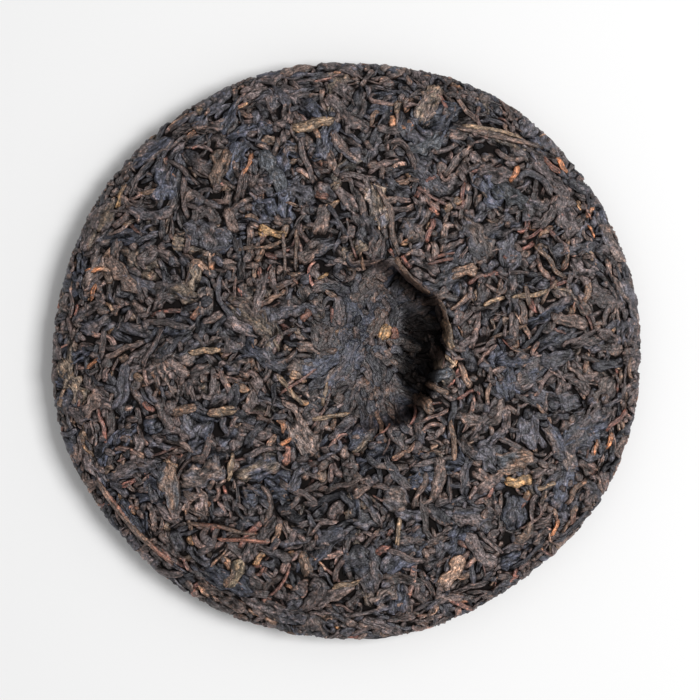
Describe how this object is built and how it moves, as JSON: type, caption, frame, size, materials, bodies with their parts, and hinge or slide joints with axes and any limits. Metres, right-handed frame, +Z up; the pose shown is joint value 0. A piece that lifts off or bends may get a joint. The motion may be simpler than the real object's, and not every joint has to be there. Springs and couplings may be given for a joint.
{
  "type": "pu erh tea cake",
  "caption": "Round cake of compressed dark tea leaf, lying with its hollow face up: domed faces, rounded edge and an off-centre cloth-knot hollow with one steep side.",
  "frame": {"origin": "on the surface the cake stands on, under the middle of the box round the cake", "axes": "+Z up through the cake, out of the hollow face; +X towards the steep side of the hollow, along the slightly longer diameter"},
  "size_m": [0.2018, 0.1978, 0.0227],
  "materials": {
    "pressed_leaf": "dull to faintly satin pressed tea leaf, near black brown with blue-black, brown, russet and tan pieces"
  },
  "bodies": {
    "root": {"tea_cake": "pressed_leaf"}
  },
  "joints": []
}
